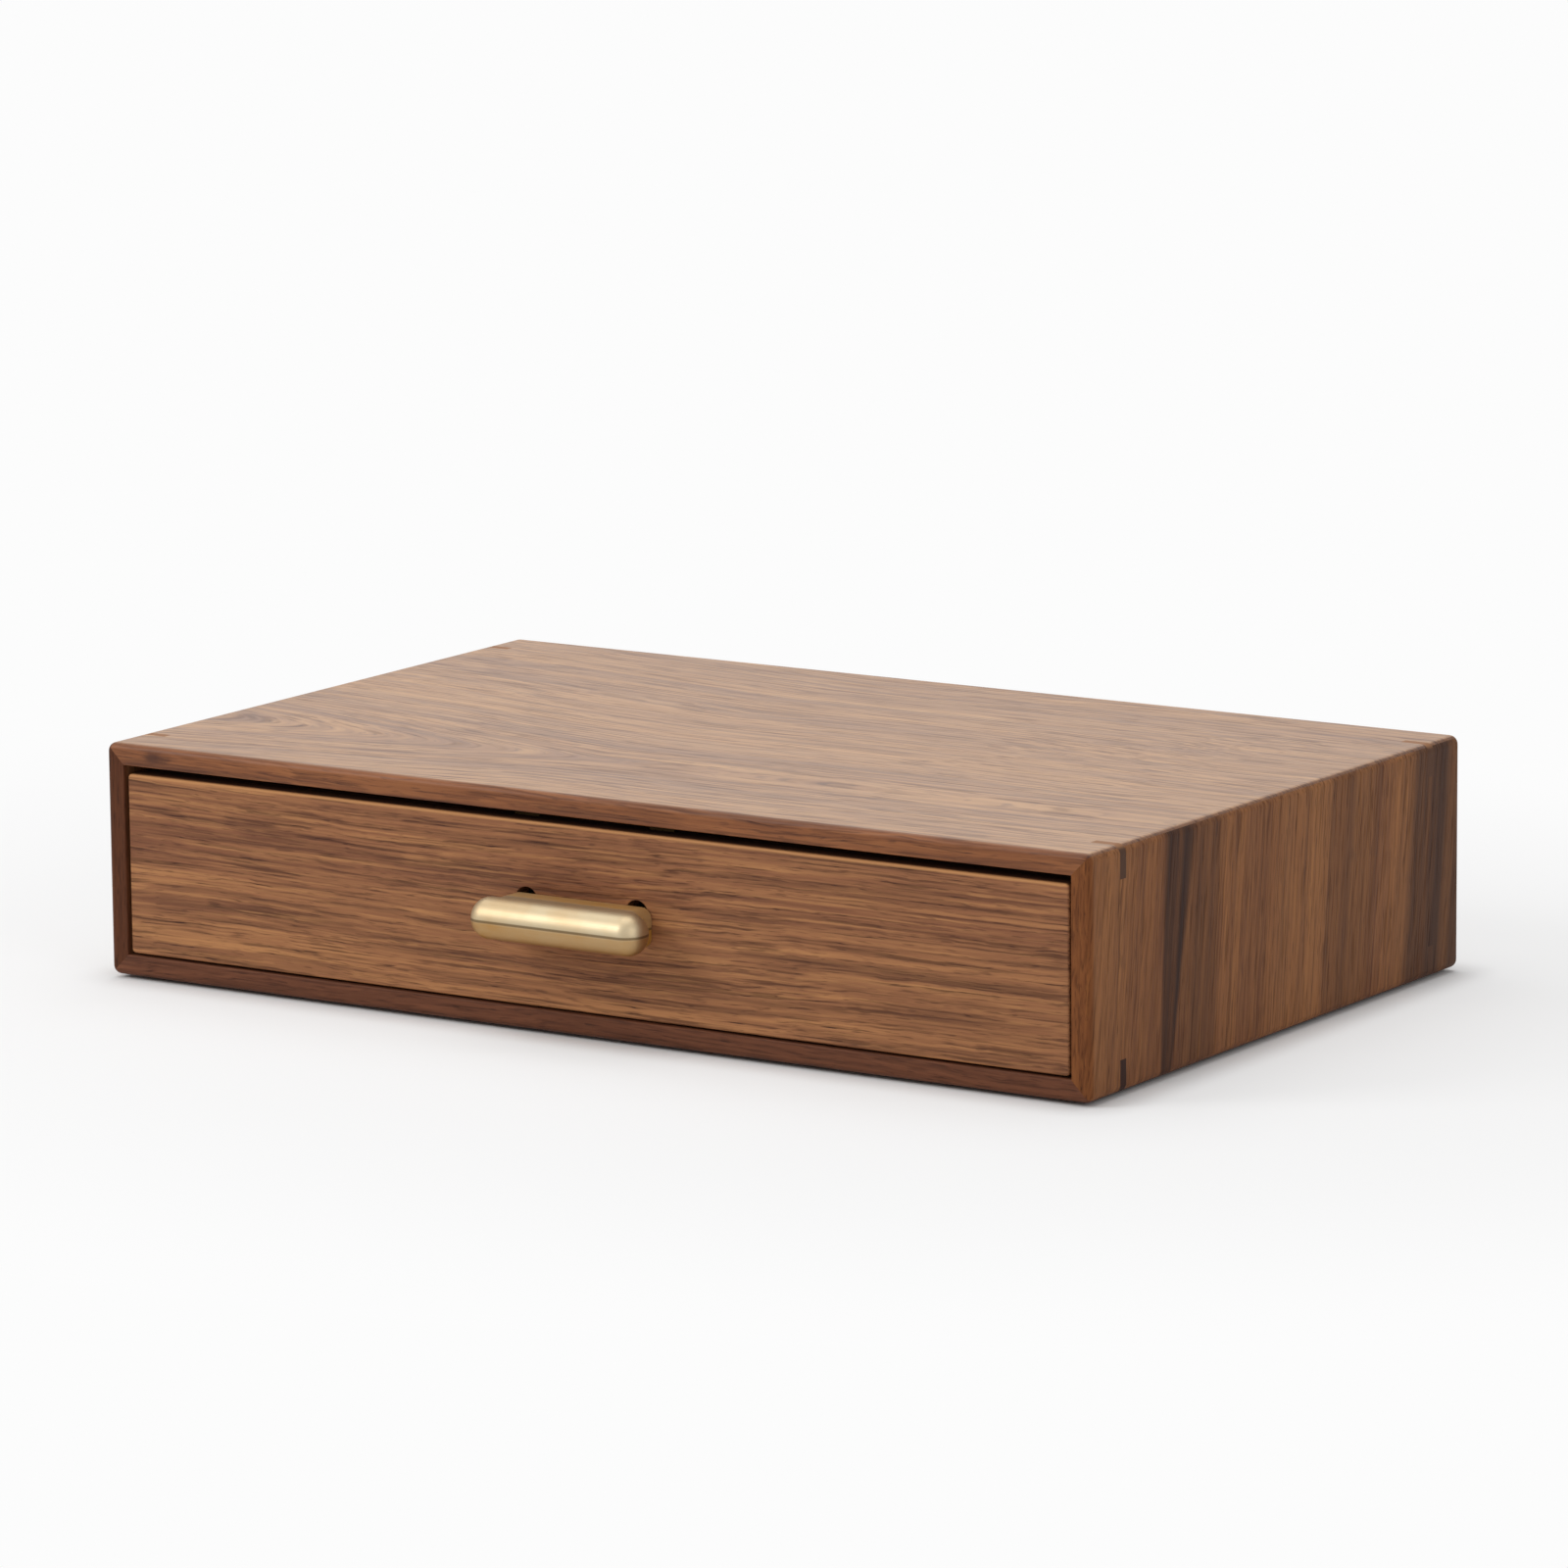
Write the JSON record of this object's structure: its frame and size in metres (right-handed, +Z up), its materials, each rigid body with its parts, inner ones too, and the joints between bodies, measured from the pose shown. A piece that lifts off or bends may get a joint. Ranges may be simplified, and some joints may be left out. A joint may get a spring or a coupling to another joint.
{
  "type": "wooden puzzle box",
  "caption": "Low walnut box with keyed mitred corners and a full-width drawer; its brass pull lifts in short slots to lock the drawer and drops to free it.",
  "frame": {"origin": "middle of the base pad's underside, under the middle of the case", "axes": "+Z up, +X to the right as one faces the drawer, so the drawer opens along -Y"},
  "size_m": [0.32, 0.2157, 0.067],
  "materials": {
    "walnut": "oiled walnut, satin",
    "dark_wood": "oiled dark hardwood",
    "maple": "waxed maple",
    "birch": "bare birch plywood",
    "brass": "satin brass",
    "nickel": "nickel plate",
    "nylon": "slick tape",
    "rubber": "matt rubber cork"
  },
  "bodies": {
    "case": {"case_top": "walnut", "case_bottom": "walnut", "case_left_side": "walnut", "case_right_side": "walnut", "case_back": "walnut", "top_left_keys": "dark_wood", "top_right_keys": "dark_wood", "bottom_left_keys": "dark_wood", "bottom_right_keys": "dark_wood", "left_kicker": "maple", "right_kicker": "maple", "left_rear_stop": "maple", "right_rear_stop": "maple", "stop_strip": "maple", "strike_plate": "brass", "strike_screws": "brass", "left_glide": "nylon", "right_glide": "nylon", "base_pad": "rubber"},
    "drawer": {"drawer_front": "walnut", "front_lining": "walnut", "drawer_left_side": "maple", "drawer_right_side": "maple", "drawer_back": "maple", "drawer_bottom": "birch", "base_screws": "brass", "lining_screws": "brass", "hold_magnets": "nickel", "stop_button_screw": "brass"},
    "pull": {"pull_bar": "brass", "pull_bushes": "brass", "lock_plate": "brass", "pull_screws": "brass", "plate_magnet": "nickel"},
    "stop_button": {"stop_button": "brass"}
  },
  "joints": [
    {"name": "drawer_slide", "type": "slide", "parent": "case", "child": "drawer", "axis": [0, -1, 0], "range_m": [0, 0.1535]},
    {"name": "pull_lift", "type": "slide", "parent": "drawer", "child": "pull", "axis": [0, 0, 1], "range_m": [0, 0.0035]},
    {"name": "stop_button_turn", "type": "hinge", "parent": "drawer", "child": "stop_button", "pos_m": [0, 0.0768, 0.0423], "axis": [0, 1, 0], "range_deg": [0, 90]}
  ]
}
